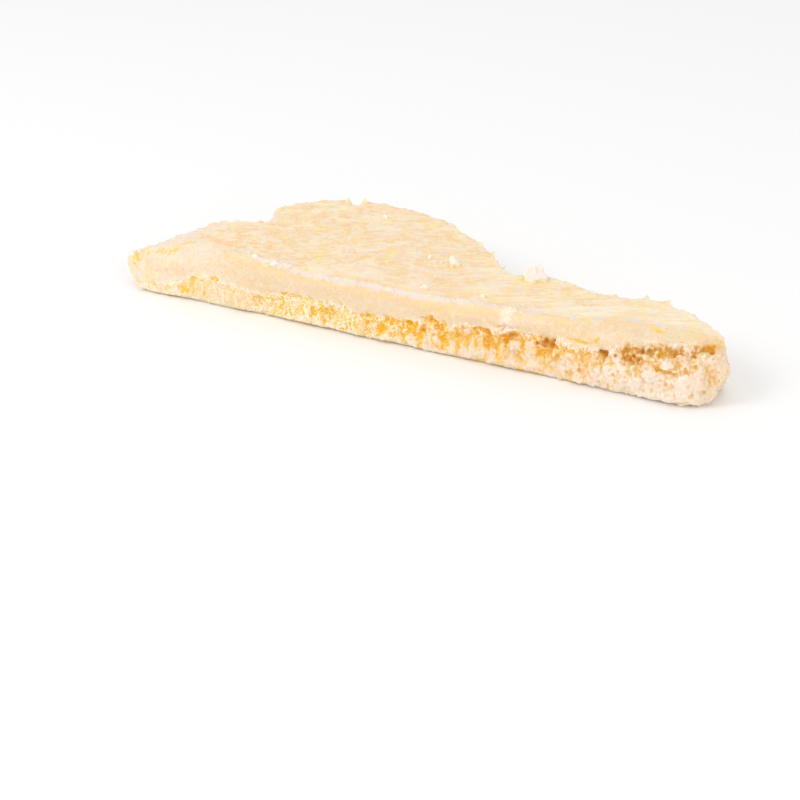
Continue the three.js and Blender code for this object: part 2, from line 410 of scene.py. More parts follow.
def smoothed(mesh, values, rounds):
    """The vertices' places or other rows of values after rounds of averaging with their neighbours."""
    edges = np.empty(len(mesh.edges) * 2, np.int32)
    mesh.edges.foreach_get("vertices", edges)
    a, b = edges.reshape(-1, 2).T
    count = len(values)
    degree = np.maximum(np.bincount(a, minlength=count) + np.bincount(b, minlength=count), 1)
    for _ in range(rounds):
        total = np.empty_like(values)
        for axis in range(values.shape[1]):
            total[:, axis] = np.bincount(a, values[b, axis], count) + np.bincount(b, values[a, axis], count)
        values = 0.5 * values + 0.5 * total / degree[:, None]
    return values


def smooth_normals(mesh, normals, rounds):
    """Vertex normals averaged over their surroundings."""
    wide = smoothed(mesh, normals, rounds)
    return wide / np.maximum(np.linalg.norm(wide, axis=1, keepdims=True), 1e-9)


# Zones of the slab

def foam_zone(points):
    """Share of foam, depth under the foam's ragged limit, height of that limit, and recess (mm)."""
    x, height, recess = np.array(FOAM_EDGE, float).T
    ragged = 0.9 * soft_noise(points, (3.6, 3.6, 10), 3) + 0.9 * soft_noise(points, (1.4, 1.4, 6), 4)
    limit = np.interp(points[:, 0], x, height) + ragged
    below = limit - points[:, 2]
    strength = 0.5 + 0.5 * share_along(points, "full foam")
    return strength * ramp(below, -0.6, 0.8), below, limit, np.interp(points[:, 0], x, recess)


def crest_y(points):
    """Where the crest runs at each point's place along the slab (mm)."""
    x, y = np.array(CREST_LINE, float).T
    return np.interp(points[:, 0], x, y)


def crest_zone(points, slope, behind):
    """Share of the crumbly crest, wider and smudged at the right, and of the bare tip at the left."""
    right = share_along(points, "wide crest")
    width = 1.0 + 1.2 * right + 0.4 * share_along(points, "left crest")
    near = np.exp(-(behind / width) ** 2) * ramp(slope[:, 2], 0.1, 0.35) * share_up(points, "crest")
    smudges = 0.2 + 0.8 * ramp(soft_noise(points, 5, 48), -0.1, 0.25)
    fading = 1 - 0.7 * share_along(points, "fading crest")
    crest = near * share_along(points, "crest") * (1 - right + right * smudges) * fading
    tip = share_along(points, "bare tip") * ramp(slope[:, 2], 0.2, 0.5) * ramp(slope[:, 1], -0.35, 0.1)
    return np.maximum(crest, 0.8 * tip)


def top_zones(points, slope):
    """Shares of skin, of the crumbly crest along its front border, and of the groove behind the crest."""
    behind = points[:, 1] - crest_y(points) + 0.5 * soft_noise(points, 2.3, 21)
    upward = ramp(slope[:, 2], 0.35, 0.7)
    wavy_x = points[:, 0] + 2 * soft_noise(points, 5, 22)
    skin = upward * ramp(behind, -0.5, 0.5) * ramp(wavy_x, *STRETCHES["skin"])
    wide = share_along(points, "wide groove")
    groove = np.exp(-((behind - 1.4 - 0.6 * wide) / (1.0 + 0.8 * wide)) ** 2) * (0.35 + 0.65 * wide)
    return skin, crest_zone(points, slope, behind), groove * upward * share_along(points, "groove")


def rim_zone(points, slope):
    """Share of the skin's ragged rim along the back and the right end."""
    end = share_along(points, "right end") * ramp(slope[:, 0], 0.2, 0.5)
    outward = np.maximum(ramp(slope[:, 1], 0.2, 0.5), end)
    return ramp(slope[:, 2], 0.25, 0.5) * ramp(slope[:, 2], 0.95, 0.8) * outward


# Relief of the sides

def foam_ribs(points, fluffy):
    """Upright ribs of the foam, long and combed from the middle to the right, weaker in the fluffy foam."""
    combed = share_along(points, "combed foam")
    ribs = combed * soft_noise(points, (3.3, 3.3, 15), 6) + (1 - combed) * soft_noise(points, (3, 3, 5), 6)
    return (1 - 0.4 * fluffy) * (ribs + 0.6 * soft_noise(points, (1.4, 1.4, 4), 7))


def torn_relief(points, normals):
    """Outward relief of the sides (mm): foam torn back under the dense cream, with ribs, curd and pores."""
    foam, below, limit, recess = foam_zone(points)
    middle = np.exp(-((below - 4) / 3.4) ** 2)
    patchy = np.clip(0.3 + 1.8 * soft_noise(points, (4.5, 4.5, 9), 5), 0, 1.4)
    torn = ramp(below, 0, 3.6) * (1 - ramp(below, 0.4 * limit, 0.9 * limit)) * patchy * recess
    fluffy = share_along(points, "fluffy foam")
    ribs = foam_ribs(points, fluffy)
    curd, _ = cells(points, 2.2, 8)
    relief = foam * (ramp(below, 0, 3) * (0.45 + 0.65 * middle) * ribs + 0.6 * (0.45 - curd)) - torn
    bulge = np.exp(-((points[:, 2] - 5.5) / 3.6) ** 2) * (0.6 + 0.9 * soft_noise(points, 6, 47))
    relief += 0.9 * fluffy * foam * bulge
    pores, share = cells(points, (1.8, 1.8, 2.2), 33)
    holed = (1 - 0.7 * fluffy) * (share < 0.4) * ramp(pores, 0.42, 0.1)
    relief -= ramp(below, -0.4, 1.2) * (0.35 + 0.5 * middle) * holed
    smears = 0.14 * soft_noise(points, (7, 7, 2.2), 15) + 0.16 * soft_noise(points, 2.4, 23)
    relief += smears * (1 - foam)
    knobs = 0.5 * soft_noise(points, 3, 35) + 0.35 * soft_noise(points, 1.5, 36)
    relief += share_along(points, "rough tip") * knobs
    relief += share_up(points, "foot") * (0.3 + 0.8 * soft_noise(points, (1.7, 1.7, 3), 34))
    return relief - cave_depth(points, normals)


def cave_depth(points, normals):
    """Depth of the caves and slits of the front (mm)."""
    total = np.zeros(len(points))
    front = ramp(-normals[:, 1], -0.3, 0.35)
    for x, z, half_width, half_height, depth in CAVES:
        close = np.abs(points[:, 0] - x) < 2 * half_width + 2
        spot = points[close]
        across = (spot[:, 0] - x) / half_width + 1.1 * soft_noise(spot, 1.3, x)
        up = (spot[:, 2] - z) / half_height + 1.1 * soft_noise(spot, 1.3, z)
        total[close] += front[close] * depth * ramp(1.35 - np.hypot(across, up), 0, 1.0)
    return total


def flare(points, normals):
    """Small outward shift of the lower edge, so that the sides stand square on their footing (mm)."""
    sideways = normals * (1, 1, 0)
    length = np.linalg.norm(sideways, axis=1)
    amount = FLARE * share_up(points, "flare") * ramp(length, 0.15, 0.5)
    return sideways * (amount / np.maximum(length, 0.01))[:, None]


def grain_relief(points):
    """Fine relief of the foam: curd grains about a millimetre across, rougher at the right end."""
    grain, _ = cells(points, 1.1, 13)
    relief = 0.24 * (0.45 - grain) + 0.16 * soft_noise(points, (0.7, 0.7, 1.4), 14)
    return relief * (1 + 0.7 * share_along(points, "fluffy foam"))


# Relief of the upper side

def golden_spots(points):
    """Share of the small golden hollows on the upper side, and how far they are sunk (mm)."""
    share = np.zeros(len(points))
    sunk = np.zeros(len(points))
    plan = points[:, :2] + 0.5 * np.stack([soft_noise(points, 1.5, 39), soft_noise(points, 1.5, 40)], 1)
    upper = share_up(points, "golden spots")
    broken = upper * ramp(soft_noise(points, 1.7, 43) + 0.5 * soft_noise(points, 0.8, 44), -0.2, 0.2)
    for x, y, half_length, half_width, depth in GOLD_SPOTS:
        spot = np.exp(-((plan[:, 0] - x) / half_length) ** 2 - ((plan[:, 1] - y) / half_width) ** 2)
        spot *= broken if x < 0 else upper * (0.5 + 0.5 * broken)
        share += spot
        sunk += depth * spot
    return share, sunk


def skin_plan(points, degrees):
    """Plan coordinates along and across folds of the skin that run at the given angle, with a slow waver."""
    turn = math.radians(degrees)
    along = points[:, 0] * math.cos(turn) + points[:, 1] * math.sin(turn)
    across = points[:, 1] * math.cos(turn) - points[:, 0] * math.sin(turn)
    plan = np.stack([along, across, np.zeros(len(points))], 1)
    plan[:, 1] += 1.6 * soft_noise(plan, 8, 9)
    return plan


def skin_relief(points):
    """Height of the skin's wrinkles (mm): patches of folds, fine lines, blisters and a slow swell."""
    plan = skin_plan(points, FOLD_ANGLE)
    patches = 0.35 + 0.65 * ramp(soft_noise(plan, (22, 12, 9), 16), -0.25, 0.3)
    folds = patches * (0.5 - 2 * np.abs(soft_noise(plan, (7, 2.7, 9), 10)))
    fine = soft_noise(plan, (2.6, 1.1, 9), 11)
    blisters = soft_noise(plan, 3.4, 17)
    swell = soft_noise(plan, 14, 12)
    lines = share_along(points, "fine lines") * soft_noise(skin_plan(points, LINE_ANGLE), (14, 1.5, 9), 42)
    return 0.22 * folds + 0.1 * fine + 0.16 * blisters + 0.3 * swell + 0.22 * lines


def crest_relief(points):
    """Height of the crumbly bead along the crest (mm)."""
    lumps, _ = cells(points, 1.3, 18)
    return 0.25 * (0.55 - lumps) + 0.3 * soft_noise(points, 2.6, 19)


def rim_push(points, x, y, reach, push, where=1):
    """Outward push around a place on the upper part of the rim (mm)."""
    near = np.exp(-((points[:, 0] - x) ** 2 + (points[:, 1] - y) ** 2) / reach ** 2)
    return push * (near * share_up(points, "rim points") * where)


def rim_relief(points, normals):
    """Ragged edge of the skin along the back and the right end, with its corner, bite and points (mm)."""
    edge = ramp(normals[:, 2], -0.1, 0.25) * ramp(normals[:, 2], 0.985, 0.9) * share_up(points, "rim")
    edge *= np.maximum(ramp(normals[:, 1], 0.05, 0.3), share_along(points, "right rim"))
    torn = ramp(soft_noise(points, 2.6, 31), 0.1, 0.5) * ramp(soft_noise(points, 8, 38), -0.2, 0.2)
    relief = edge * (0.45 * soft_noise(points, 1.3, 24) + 0.6 * soft_noise(points, 3.6, 25) + 0.9 * torn)
    relief += rim_push(points, *NOTCH_CORNER, where=ramp(normals[:, 2], 0.95, 0.7))
    for place in RIM_POINTS:
        relief += rim_push(points, *place)
    return relief


# The slab

def joined_copy(solid, name):
    """A copy of the solid, with its loose triangles joined."""
    shape = bmesh.new()
    shape.from_mesh(solid.data)
    bmesh.ops.remove_doubles(shape, verts=shape.verts, dist=JOINING_DISTANCE * MM)
    mesh = bpy.data.meshes.new(name)
    shape.to_mesh(mesh)
    shape.free()
    return linked(name, mesh)


def work_forms(mesh):
    """Works the larger forms into the surface; returns the shares of raised foam and of the crest."""
    points, normals = mesh_arrays(mesh)
    foam = foam_zone(points)[0]
    under = ramp(-normals[:, 2], 0.4, 0.8)
    upward = ramp(normals[:, 2], 0.5, 0.85) * (1 - foam)
    skin, crest, groove = top_zones(points, normals)
    sides = (1 - upward) * (1 - under)
    relief = sides * torn_relief(points, normals) + skin * skin_relief(points) - GROOVE_DEPTH * groove
    relief += rim_relief(points, normals) - golden_spots(points)[1]
    points += normals * relief[:, None]
    points += flare(points, normals)
    set_places(mesh, points)
    return foam ** 2 * (1 - under) * (0.25 + ramp(relief, -0.5, 0.6)), crest


def work_grain(mesh):
    """Works the fine grain into the surface: of the foam, of the crest, and a slight one elsewhere."""
    points, normals = mesh_arrays(mesh)
    foam = foam_zone(points)[0]
    under = ramp(-normals[:, 2], 0.4, 0.8) * (points[:, 2] < 0.4)
    crest = top_zones(points, smooth_normals(mesh, normals, SLOPE_ROUNDS))[1]
    slight = 0.07 * soft_noise(points, 1.1, 26) + 0.05 * soft_noise(points, 0.6, 27)
    relief = foam * (1 - under) * grain_relief(points) + crest * crest_relief(points)
    relief += (1 - foam) * (1 - under) * slight
    points += normals * relief[:, None]
    set_places(mesh, points)


def slab_piece():
    """The slab: the solid's own form, with wrinkles, torn foam and lumps of curd worked into its surface."""
    obj = joined_copy(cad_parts[SLAB_NODE], "cream_slab")
    soften = obj.modifiers.new("soften", "SUBSURF")
    soften.levels = 1
    soften.render_levels = 1
    mesh = remeshed(obj, FIRST_GRAIN)
    base = surface_tree(mesh)
    raised, crest = work_forms(mesh)
    add_lumps(mesh, raised, crest)
    work_grain(remeshed(obj, LAST_GRAIN))
    mesh = thinned(obj, SLAB_TRIANGLES)
    one_part(mesh)
    mesh.polygons.foreach_set("use_smooth", [True] * len(mesh.polygons))
    store_masks(mesh, base)
    return obj


# Lumps of curd

def lump_shape(kind, seed):
    """An uneven lump of unit size, a shard with its tip along +X: vertices and faces."""
    shape = bmesh.new()
    if kind == "shard":
        along_x = Matrix.Rotation(math.radians(90), 4, "Y")
        bmesh.ops.create_cone(
            shape, cap_ends=True, segments=7, radius1=1.0, radius2=0.15, depth=2.0, matrix=along_x)
        bmesh.ops.triangulate(shape, faces=shape.faces)
    else:
        bmesh.ops.create_icosphere(shape, subdivisions=FINENESS[kind], radius=1.0)
    for vert in shape.verts:
        at = vert.co + Vector((seed * 7.7, 0, 0))
        if kind == "chunk":
            vert.co /= max(abs(part) for part in vert.co) ** 0.6
        vert.co *= 1 + 0.4 * noise.noise(at * 1.4) + 0.25 * noise.noise(at * 3.9)
    places = np.array([vert.co for vert in shape.verts])
    faces = np.array([[vert.index for vert in face.verts] for face in shape.faces])
    shape.free()
    return places, faces


def lump_mesh(lumps):
    """One mesh of many lumps, given as (centre, size, kind, turn) in mm."""
    shapes = {}
    for kind in {kind for _, _, kind, _ in lumps}:
        shapes[kind] = [lump_shape(kind, seed) for seed in range(SHAPES_OF_A_KIND)]
    verts = []
    faces = []
    first = 0
    for number, (centre, size, kind, turn) in enumerate(lumps):
        places, corners = shapes[kind][number % SHAPES_OF_A_KIND]
        verts.append((places * size) @ np.array(turn.to_3x3()).T + centre)
        faces.append(corners + first)
        first += len(places)
    mesh = bpy.data.meshes.new("lumps")
    mesh.from_pydata((np.concatenate(verts) * MM).tolist(), [], np.concatenate(faces).tolist())
    return mesh


def add_lumps(mesh, raised, crest):
    """Adds tufts, crumbs and shards of curd to the slab's mesh, to be fused with it."""
    points, normals = mesh_arrays(mesh)
    slope = smooth_normals(mesh, normals, SLOPE_ROUNDS)
    surface = {"points": points, "normals": normals, "slope": slope}
    lumps = tufts(surface, raised, crest)
    lumps += crumbs(surface, surface_tree(mesh))
    lumps += shards(surface)
    added = lump_mesh(lumps)
    shape = bmesh.new()
    shape.from_mesh(mesh)
    shape.from_mesh(added)
    shape.to_mesh(mesh)
    shape.free()
    bpy.data.meshes.remove(added)


def any_turn():
    """A seeded random turn."""
    axis = Vector(DICE.normal(size=3)).normalized()
    return Matrix.Rotation(DICE.uniform(0, 2 * math.pi), 4, axis)


def picked(weights, count):
    """Seeded draw of vertex numbers, each as likely as its weight."""
    return DICE.choice(len(weights), count, replace=False, p=weights / weights.sum())


def scattered(surface, weights, count, least, greatest):
    """Small lumps on the surface, a little sunk in, of the given half sizes (mm)."""
    lumps = []
    for i in picked(weights, count):
        size = least * (greatest / least) ** DICE.uniform(0, 1)
        centre = surface["points"][i] + surface["normals"][i] * size * 0.2
        lumps.append((centre, size * DICE.uniform(0.7, 1.15, 3), "crumb", any_turn()))
    return lumps


def tufts(surface, raised, crest):
    """Tufts of curd: on the foam, larger at the right end, and in a broken line along the crest."""
    points = surface["points"]
    right = share_along(points, "large tufts")
    broken = 0.1 + ramp(soft_noise(points, 7, 20), -0.05, 0.3)
    lip = crest ** 3 * share_along(points, "lip begins") * share_along(points, "lip ends")
    lumps = scattered(surface, raised * (1 - right), *FOAM_TUFTS)
    lumps += scattered(surface, raised * right, *END_TUFTS)
    lumps += scattered(surface, crest ** 3 * broken, *CREST_TUFTS)
    return lumps + scattered(surface, lip, *LIP_TUFTS)


def crumbs(surface, tree):
    """Curd crumbs: large ones on the skin, and a heap of small ones on the chalky patch."""
    x, y, _ = surface["points"].T
    tilt = Matrix.Rotation(math.radians(CORNER_TILT), 4, Vector((1, 1, 0)))
    lumps = []
    for place_x, place_y, half_width, half_height in LARGE_CRUMBS:
        spot = tree.ray_cast(Vector((place_x, place_y, CLEAR_HEIGHT)), Vector((0, 0, -1)))[0]
        centre = np.array(spot) + (0, 0, 0.6 * half_height)
        size = (half_width * DICE.uniform(0.85, 1), half_width * DICE.uniform(0.65, 0.9), half_height)
        turn = Matrix.Rotation(DICE.uniform(0, 2 * math.pi), 4, "Z") @ tilt
        lumps.append((centre, np.array(size), "chunk", turn))
    patch_x, patch_y, spread = CHALKY_PATCH
    heap = np.exp(-((x - patch_x) ** 2 + (y - patch_y) ** 2) / spread ** 2) * (surface["slope"][:, 2] > 0.6)
    return lumps + scattered(surface, heap, *CHALK_CRUMBS)


def shards(surface):
    """Torn shards of skin that stand up along the back rim and the right end."""
    points = surface["points"]
    slope = surface["slope"]
    rim = rim_zone(points, slope)
    broken = 0.1 + ramp(soft_noise(points, 9, 37), -0.1, 0.3)
    ragged = rim * broken * (1 + 4 * share_along(points, "many shards"))
    count, least, times = SMALL_SHARDS
    places = [(i, least * times ** DICE.uniform(0, 1)) for i in picked(ragged, count)]
    for x, y, length in RIM_SHARDS:
        away = np.hypot(points[:, 0] - x, points[:, 1] - y) + 50 * (rim < 0.3)
        places.append((int(np.argmin(away)), length))
    lumps = []
    for i, length in places:
        out = Vector(slope[i]) + Vector((0, 0, 0.7)) + Vector(DICE.normal(0, 0.3, 3))
        roll = Matrix.Rotation(DICE.uniform(-0.5, 0.5), 4, "X")
        turn = out.to_track_quat("X", "Z").to_matrix().to_4x4() @ roll
        centre = points[i] + np.array(out.normalized()) * length * 0.2
        size = np.array((length * 0.7, length * DICE.uniform(0.8, 1.4), max(0.4, length * 0.28)))
        lumps.append((centre, size, "shard", turn))
    return lumps


# Values for the finish to follow

def crumb_marks(points, deep):
    """Shares of the large crumbs, and of the yellow stains at the foot of the largest."""
    curd = np.zeros(len(points))
    stain = np.zeros(len(points))
    for x, y, half_width, _ in LARGE_CRUMBS:
        across = points[:, 0] - x
        along = points[:, 1] - y
        curd = np.maximum(curd, ramp(np.hypot(across, along), 1.7 * half_width, 1.3 * half_width))
        if half_width >= STAINING_WIDTH:
            foot = (along + 0.9 * half_width) / half_width
            stain += np.exp(-(across / (1.6 * half_width)) ** 2 - foot ** 2)
    return curd * ramp(-deep, 0.3, 0.6), stain


def depth_inside(points, base):
    """How far each point lies inside the plain surface, before its relief (mm)."""
    deep = np.empty(len(points))
    for i, point in enumerate(points.tolist()):
        place, normal, _, distance = base.find_nearest(point)
        deep[i] = distance if (Vector(point) - place).dot(normal) < 0 else -distance
    return deep


def sunken(mesh, points, normals, rounds):
    """How far each point lies under its surroundings, which the rounds of averaging set (mm)."""
    return np.einsum("ij,ij->i", smoothed(mesh, points, rounds) - points, normals)


def pale_sheen_zone(points, slope):
    """Share of pale dense cream, painted light: a painted sheen on the top of the cut, and painted light on
    the left end.
    """
    pale = np.exp((points[:, 2] - SHEEN_HEIGHT) / 2.2) * ramp(-slope[:, 1], 0.1, 0.5)
    return np.maximum(pale, share_along(points, "lit pale end"))


def butter_zone(points):
    """Share of the buttery band under the crest."""
    under_crest = np.hypot(points[:, 1] - crest_y(points), points[:, 2] - CREST_HEIGHT)
    from_band = under_crest - 3.2 + share_along(points, "raised butter")
    return np.exp(-(from_band / 1.3) ** 2) * share_along(points, "butter")


def chalk_zone(points):
    """Share of the chalky patch."""
    patch_x, patch_y, spread = CHALKY_PATCH
    chalk = np.exp(-((points[:, 0] - patch_x + 0.8 * soft_noise(points, 2.5, 41)) / spread) ** 2)
    return chalk * (ramp(points[:, 1], patch_y + 3, patch_y) * share_up(points, "chalk"))


def slit_zone(points):
    """Share of the stretch of the front that has the thin slit."""
    between = share_along(points, "slit begins") * share_along(points, "slit ends")
    return between * share_up(points, "slit")


def seam_shade_zone(points, below, recess):
    """Share of the painted golden shade along the seam under the dense cream, in patches and with one gap.
    """
    patchy = np.clip(0.5 + 1.8 * soft_noise(points, (5, 5, 9), 28), 0, 1.4)
    seam = np.exp(-((below - 3.6) / 3.0) ** 2) * np.clip(recess / 1.2, 0, 1.0) * patchy
    gap_x, half_width = SEAM_SHADE_GAP
    return seam * (1 - 0.6 * np.exp(-((points[:, 0] - gap_x) / half_width) ** 2))


def gold_shade_zone(mesh, points, zone):
    """Share of painted golden shade: in hollows, pores and caves, along the seam, along the lower edge, and
    in the golden spots; broken up by noise.
    """
    below = zone["below"]
    cave = zone["cave"]
    right_end_shade = zone["right_end_shade"]
    rich = share_along(points, "rich gold begins") * share_along(points, "rich gold ends")
    seam = seam_shade_zone(points, below, zone["recess"])
    gold = (0.65 + 0.4 * right_end_shade) * zone["wide"] + (0.9 + 0.9 * right_end_shade) * zone["tight"] + 0.12 * zone["deep"]
    in_caves = (0.32 - 0.14 * right_end_shade) * cave
    gold += in_caves + 0.42 * seam + 0.05 * rich - 0.15 * ramp(below, 5, 9) * (1 - 0.3 * rich)
    gold += 0.4 * soft_noise(points, (2.4, 2.4, 4.5), 49) * ramp(below, 1, 3) * (1 - right_end_shade)
    gold -= 0.35 * ramp(soft_noise(points, 1.3, 46), 0.12, 0.4) * ramp(gold, 0.0, 0.3)
    gold = np.minimum(gold, GOLD_SHADE_KNEE + 0.4 * (gold - GOLD_SHADE_KNEE))
    left = share_along(points, "golden left")
    end = share_along(points, "golden end")
    gold += (0.9 * left + 0.6 * end + 0.9 * zone["slit"]) * cave
    # Painted golden shade along the lower edge, where it meets the floor
    gold += 0.5 * share_up(points, "golden foot shade") * np.clip(0.25 + 1.8 * soft_noise(points, 2.2, 45), 0, 1.2)
    gold += 0.4 * share_up(points, "golden edge shade")
    gold = 0.6 * gold + 0.4 * smoothed(mesh, gold[:, None], GOLD_SHADE_ROUNDS)[:, 0] + 1.1 * zone["spots"]
    return gold + 0.05 * zone["low"] * (1 - right_end_shade)


def shade_zone(mesh, points, zone):
    """Share of shade: in the caves, the golden hollows and the foam of the right end."""
    shade = ramp(smoothed(mesh, zone["cave"][:, None], WIDE_ROUNDS)[:, 0], 0.05, 1.1)
    shade = shade * share_along(points, "shaded caves") * (1 - zone["slit"])
    shade = np.maximum(shade, ramp(zone["sunk"], 0.4, 1.0))
    return np.maximum(shade, 0.4 * zone["foam"] * share_along(points, "shaded end"))


def store_masks(mesh, base):
    """Keeps on the mesh where it is skin, foam, crest, crumb or hollow, for the finish to follow."""
    points, normals = mesh_arrays(mesh)
    slope = smooth_normals(mesh, normals, MASK_SLOPE_ROUNDS)
    zone = {name: share_along(points, name) for name in ("warm", "right_end_shade")}
    zone["foam"], zone["below"], _, zone["recess"] = foam_zone(points)
    zone["skin"], zone["crest"], zone["groove"] = top_zones(points, slope)
    zone["pale"] = pale_sheen_zone(points, slope)
    zone["butter"] = butter_zone(points)
    zone["rim"] = rim_zone(points, slope)
    zone["chalk"] = chalk_zone(points)
    zone["slit"] = slit_zone(points)
    zone["low"] = ramp(zone["below"], 4, 7) * share_along(points, "strands")
    zone["wide"] = sunken(mesh, points, normals, WIDE_ROUNDS)
    zone["tight"] = sunken(mesh, points, normals, TIGHT_ROUNDS)
    zone["deep"] = depth_inside(points, base)
    zone["cave"] = cave_depth(points, slope)
    zone["spots"], zone["sunk"] = golden_spots(points)
    zone["curd"], zone["stain"] = crumb_marks(points, zone["deep"])
    zone["fringe"] = np.exp(-((zone["below"] - 0.6) / 1.3) ** 2) * (1 - 0.8 * ramp(zone["cave"], 0.2, 0.9))
    zone["gold"] = gold_shade_zone(mesh, points, zone)
    zone["shade"] = shade_zone(mesh, points, zone)
    for name in MASK_NAMES:
        layer = mesh.attributes.new(name, "FLOAT", "POINT")
        layer.data.foreach_set("value", zone[name].astype(np.float32))


# Shader tools

class Wire:
    """A shader socket in an expression: operators add Math nodes, and node() adds any other node."""

    def __init__(self, tree, socket=None):
        self.tree = tree
        self.socket = socket

    def node(self, kind, settings=None, inputs=None, out=0):
        """A new node with its settings and the values or links of its sockets; returns one output."""
        made = self.tree.nodes.new(kind)
        for key, value in (settings or {}).items():
            setattr(made, key, value)
        for key, value in (inputs or {}).items():
            if isinstance(value, Wire):
                value.feed(made.inputs[key])
            else:
                made.inputs[key].default_value = value
        return Wire(self.tree, made.outputs[out])

    def feed(self, socket):
        """Links this value to a socket."""
        self.tree.links.new(self.socket, socket)

    def maths(self, operation, a, b):
        """A Math node on two values."""
        return self.node("ShaderNodeMath", {"operation": operation}, {0: a, 1: b})

    def __add__(self, other):
        return self.maths("ADD", self, other)

    __radd__ = __add__

    def __sub__(self, other):
        return self.maths("SUBTRACT", self, other)

    def __rsub__(self, other):
        return self.maths("SUBTRACT", other, self)

    def __mul__(self, other):
        return self.maths("MULTIPLY", self, other)

    __rmul__ = __mul__

    def band(self, low, high):
        """0 at low and 1 at high, clamped between."""
        return self.node("ShaderNodeMapRange", {"clamp": True}, {0: self, 1: low, 2: high, 3: 0.0, 4: 1.0})

    def blend(self, first, second, way="MIX"):
        """Colour that goes from first to second, or to their product, as this value goes from 0 to 1."""
        ends = [colour if isinstance(colour, Wire) else rgb(colour) for colour in (first, second)]
        settings = {"data_type": "RGBA", "blend_type": way}
        # The Mix node's colours are its inputs 6 and 7 and its output 2
        return self.node("ShaderNodeMix", settings, {0: self, 6: ends[0], 7: ends[1]}, 2)


def rgb(colour):
    """A colour as a socket takes it."""
    return (*colour, 1.0)


def new_material(name):
    """A material with one Principled shader; returns it, the shader and a wire to build expressions from."""
    material = bpy.data.materials.new(name)
    material.use_nodes = True
    return material, material.node_tree.nodes["Principled BSDF"], Wire(material.node_tree)


def speckle(at, scale, detail=3.0, rough=0.55):
    """Noise at the given coordinates, about 0.5 on average."""
    inputs = {"Vector": at, "Scale": scale, "Detail": detail, "Roughness": rough}
    return at.node("ShaderNodeTexNoise", None, inputs)


def turned(at, degrees):
    """Coordinates turned about the upright axis."""
    return at.node("ShaderNodeMapping", None, {"Vector": at, "Rotation": (0, 0, math.radians(degrees))})


def drawn_out(at, scale):
    """Coordinates scaled on each axis: a small scale draws a pattern out along that axis."""
    return at.node("ShaderNodeMapping", None, {"Vector": at, "Scale": scale})


def band_along(place, name):
    """Share of a named stretch of the slab's length."""
    start, full = STRETCHES[name]
    x = place.node("ShaderNodeSeparateXYZ", None, {0: place})
    return x.band(start * MM, full * MM)


def painted(ground, colours, shares):
    """The ground colour with other colours laid over it in turn, each by its share."""
    for name, share in shares.items():
        ground = share.blend(ground, colours[name])
    return ground


# Finish of the slab

def skin_colour(place, masks):
    """Mottled skin: streaks along its folds, pale blots and waves, yellow stains and white flecks, with
    painted shade in its creases and in its groove.
    """
    folds = drawn_out(turned(place, -FOLD_ANGLE), (0.55, 1.0, 1.0))
    lines = drawn_out(turned(place, -LINE_ANGLE), (0.12, 1.0, 1.0))
    sunny = band_along(place, "sunny skin")
    streaks = speckle(folds, 560.0, 4.0, 0.65) * 0.5 + speckle(place, 200.0, 4.0, 0.6) * 0.5
    # Tight creases pulled towards the hollow colour: painted shade in the creases
    streaks = (streaks + masks["tight"] * -1.4).band(0.41, 0.58)
    small_stains = speckle(place, 310.0, 1.0).band(0.62, 0.7) * 0.6
    wide_stains = speckle(place, 120.0, 2.0).band(0.56, 0.7) * 0.4
    return painted(streaks.blend(SKIN_COLOURS["hollow"], SKIN_COLOURS["ridge"]), SKIN_COLOURS, {
        "blots": speckle(folds, 230.0, 2.0, 0.5).band(0.56, 0.66) * 0.7,
        "patches": speckle(place, 75.0, 4.0, 0.65).band(0.5, 0.64) * 0.6,
        "dull spots": speckle(folds, 84.0, 2.0, 0.5).band(0.52, 0.62) * 0.3,
        "waves": speckle(lines, 330.0, 3.0, 0.5).band(0.46, 0.6) * sunny * 0.75,
        "tan lines": speckle(lines, 270.0, 3.0, 0.5).band(0.52, 0.64) * sunny * 0.5,
        "far right": band_along(place, "far right") * 0.4,
        "stains": small_stains + wide_stains + masks["stain"] * 0.7,
        "flecks": speckle(place, 700.0, 1.0).band(0.66, 0.72) * 0.8,
        # Painted shade in the groove behind the crest
        "groove": masks["groove"] * 0.6,
    })


def dense_colour(place, masks):
    """Dense cream: level smears, a pale top with a painted sheen, whitish and buttery spots, and painted
    golden shade where it is torn.
    """
    level = drawn_out(place, (0.3, 0.3, 1.0))
    smears = speckle(level, 150.0, 4.0, 0.6) * 0.3 + speckle(place, 500.0, 4.0, 0.65) * 0.3
    smears = smears + speckle(place, 1500.0, 2.0) * 0.4
    ground = smears.band(0.42, 0.58).blend(DENSE_COLOURS["hollow"], DENSE_COLOURS["ridge"])
    far_left = band_along(place, "far left")
    mottles = speckle(place, 240.0, 3.0, 0.65).band(0.52, 0.68) * (0.35 + far_left * 0.4)
    return painted(ground, DENSE_COLOURS, {
        # Painted sheen on the top of the cut, and painted light on the left end
        "pale sheen top": masks["pale"] * smears.band(0.35, 0.58),
        "whitish spots": speckle(place, 420.0, 4.0, 0.7).band(0.52, 0.68) * 0.6,
        "butter": mottles + masks["butter"] * 0.4,
        # Painted golden shade where the cream is torn
        "gold": masks["gold"].band(0.1, 0.55),
    })


